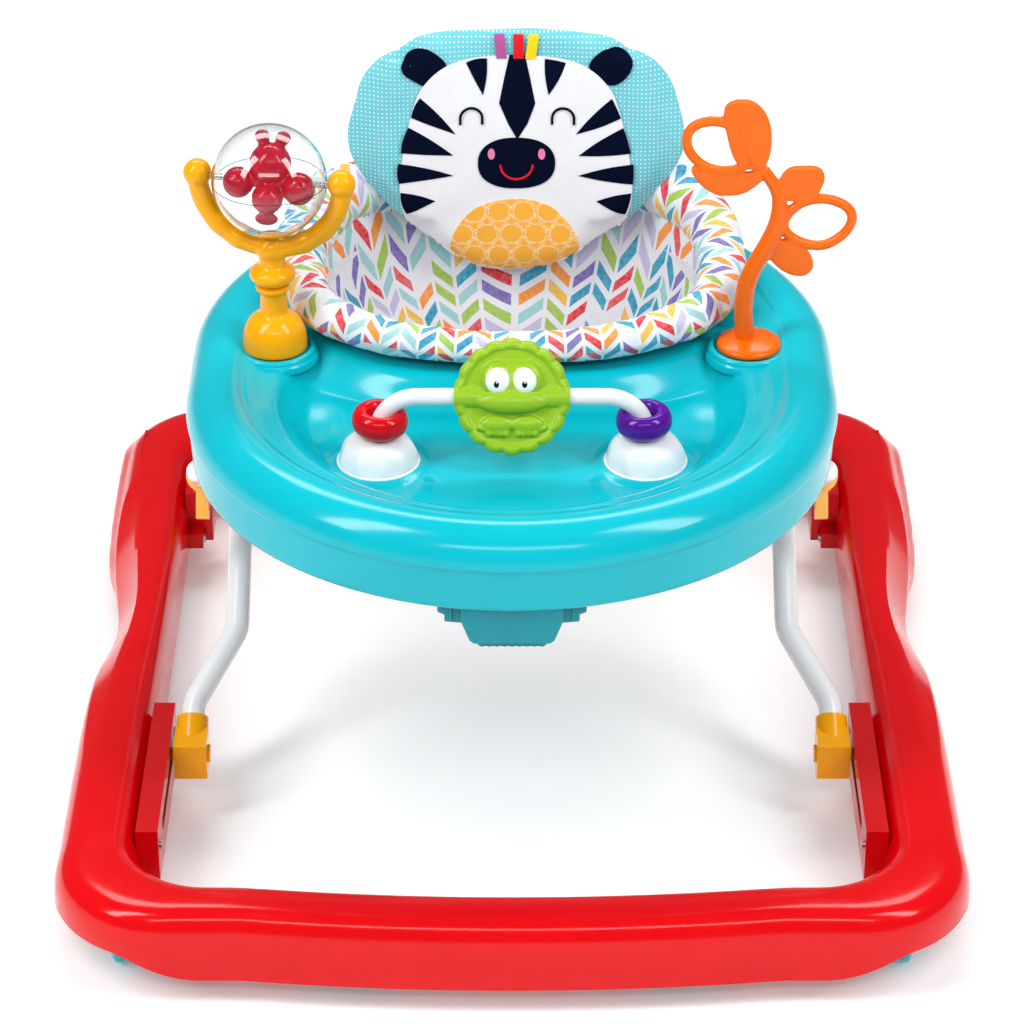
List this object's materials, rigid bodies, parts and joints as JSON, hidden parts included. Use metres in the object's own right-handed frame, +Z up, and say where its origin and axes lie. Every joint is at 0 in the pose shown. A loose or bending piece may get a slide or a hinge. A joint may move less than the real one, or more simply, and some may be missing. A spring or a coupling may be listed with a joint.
{
  "type": "baby walker",
  "caption": "Wheeled baby walker: glossy ring base, folding scissor tube frame, round toy tray with spinner, plant and play bar, and a padded hanging fabric seat.",
  "frame": {"origin": "on the floor, below the middle of the base ring", "axes": "-Y is the front, which the child walks towards; +X is the right-hand side seen from the front of the walker; +Z is up"},
  "size_m": [0.69, 0.79, 0.5624],
  "materials": {
    "red_plastic": "glossy moulded red",
    "dark_red_plastic": "satin moulded red",
    "teal_plastic": "glossy moulded turquoise",
    "dark_teal_plastic": "satin moulded dark turquoise",
    "yellow_plastic": "glossy moulded yellow",
    "orange_plastic": "soft glossy orange",
    "white_plastic": "glossy white",
    "green_plastic": "glossy moulded green",
    "bead_red": "glossy red",
    "bead_purple": "glossy purple",
    "clear_plastic": "clear transparent shell",
    "white_enamel": "white powder coat",
    "steel": "plated steel",
    "rubber_grey": "soft grey rubber",
    "print_fabric": "printed woven cotton, herringbone of coloured strokes",
    "back_fabric": "light turquoise dotted cotton with an animal face patch"
  },
  "bodies": {
    "base": {"base_shell": "red_plastic", "grip_pads": "rubber_grey", "front_guide_left": "dark_red_plastic", "front_guide_right": "dark_red_plastic", "rear_block_left": "dark_red_plastic", "rear_block_right": "dark_red_plastic", "caster_sockets": "dark_teal_plastic", "rear_wheel_mounts": "dark_red_plastic", "rear_axles": "steel", "base_screws": "steel"},
    "caster_left": {"caster_fork_left": "teal_plastic", "front_axle_left": "steel"},
    "caster_right": {"caster_fork_right": "teal_plastic", "front_axle_right": "steel"},
    "wheel_front_left": {"front_wheel_left": "teal_plastic"},
    "wheel_front_right": {"front_wheel_right": "teal_plastic"},
    "wheel_rear_left": {"rear_wheel_left": "teal_plastic"},
    "wheel_rear_right": {"rear_wheel_right": "teal_plastic"},
    "rear_frame": {"rear_tube": "white_enamel", "rear_feet": "yellow_plastic", "tube_clips": "yellow_plastic", "cross_washers": "rubber_grey"},
    "front_frame": {"front_tubes": "white_enamel", "front_feet": "yellow_plastic", "slider_pins": "yellow_plastic", "cross_pins": "steel"},
    "tray": {"top_pins": "steel", "tray_top": "teal_plastic", "tray_bottom": "dark_teal_plastic", "tray_hinges": "dark_teal_plastic", "tray_screws": "steel", "frame_track": "dark_teal_plastic", "adjuster_housing": "dark_teal_plastic", "adjuster_spring": "steel", "seat_ring": "white_plastic", "seat_clips": "white_plastic", "seat_roll": "print_fabric", "seat_sling": "print_fabric", "seat_back": "back_fabric", "back_board": "white_plastic", "spinner_base": "yellow_plastic", "plant_base": "orange_plastic", "plant_stalk": "orange_plastic", "bar_domes": "white_plastic", "play_bar": "white_plastic"},
    "handle": {"adjuster_handle": "teal_plastic"},
    "spinner": {"spinner_fork": "yellow_plastic", "ball_axle": "steel"},
    "ball": {"ball_shell_upper": "clear_plastic", "ball_shell_lower": "clear_plastic", "ball_beads": "bead_red"},
    "left_bead": {"bead_left": "bead_red"},
    "right_bead": {"bead_right": "bead_purple"},
    "disc": {"disc_front": "green_plastic", "disc_back": "green_plastic", "disc_eyes": "white_plastic"}
  },
  "joints": [
    {"name": "frame_fold", "type": "hinge", "parent": "base", "child": "rear_frame", "pos_m": [0, 0.25, 0.055], "axis": [1, 0, 0], "range_deg": [0, 27]},
    {"name": "frame_cross", "type": "hinge", "parent": "rear_frame", "child": "front_frame", "pos_m": [0, 0.05647, 0.18901], "axis": [1, 0, 0], "range_deg": [-54.5, 0.5]},
    {"name": "tray_pivot", "type": "hinge", "parent": "front_frame", "child": "tray", "pos_m": [0, 0.17609, 0.27184], "axis": [1, 0, 0], "range_deg": [-0.5, 27.5]},
    {"name": "caster_left_swivel", "type": "hinge", "parent": "base", "child": "caster_left", "pos_m": [-0.291, -0.334, 0.05], "axis": [0, 0, 1], "continuous": true},
    {"name": "caster_right_swivel", "type": "hinge", "parent": "base", "child": "caster_right", "pos_m": [0.291, -0.334, 0.05], "axis": [0, 0, 1], "continuous": true},
    {"name": "wheel_front_left_spin", "type": "hinge", "parent": "caster_left", "child": "wheel_front_left", "pos_m": [-0.291, -0.326, 0.021], "axis": [1, 0, 0], "continuous": true},
    {"name": "wheel_front_right_spin", "type": "hinge", "parent": "caster_right", "child": "wheel_front_right", "pos_m": [0.291, -0.326, 0.021], "axis": [1, 0, 0], "continuous": true},
    {"name": "wheel_rear_left_spin", "type": "hinge", "parent": "base", "child": "wheel_rear_left", "pos_m": [-0.315, 0.316, 0.021], "axis": [1, 0, 0], "continuous": true},
    {"name": "wheel_rear_right_spin", "type": "hinge", "parent": "base", "child": "wheel_rear_right", "pos_m": [0.315, 0.316, 0.021], "axis": [1, 0, 0], "continuous": true},
    {"name": "handle_pull", "type": "slide", "parent": "tray", "child": "handle", "axis": [0, -1, 0], "range_m": [0, 0.008], "stiffness_N_per_m": 400},
    {"name": "spinner_swivel", "type": "hinge", "parent": "tray", "child": "spinner", "pos_m": [-0.184, -0.01, 0.4], "axis": [0, 0, 1], "continuous": true},
    {"name": "ball_spin", "type": "hinge", "parent": "spinner", "child": "ball", "pos_m": [-0.184, -0.01, 0.494], "axis": [0.9836, -0.1805, 0], "continuous": true},
    {"name": "left_bead_slide", "type": "hinge", "parent": "tray", "child": "left_bead", "pos_m": [-0.07, -0.147, 0.353], "axis": [0, 1, 0], "range_deg": [0, 65]},
    {"name": "right_bead_slide", "type": "hinge", "parent": "tray", "child": "right_bead", "pos_m": [0.07, -0.147, 0.353], "axis": [0, -1, 0], "range_deg": [0, 65]},
    {"name": "disc_spin", "type": "hinge", "parent": "tray", "child": "disc", "pos_m": [0, -0.147, 0.383], "axis": [1, 0, 0], "continuous": true}
  ],
  "couplings": [
    {"joint": "frame_cross", "follows": "frame_fold", "ratio": -2},
    {"joint": "tray_pivot", "follows": "frame_fold", "ratio": 1}
  ]
}
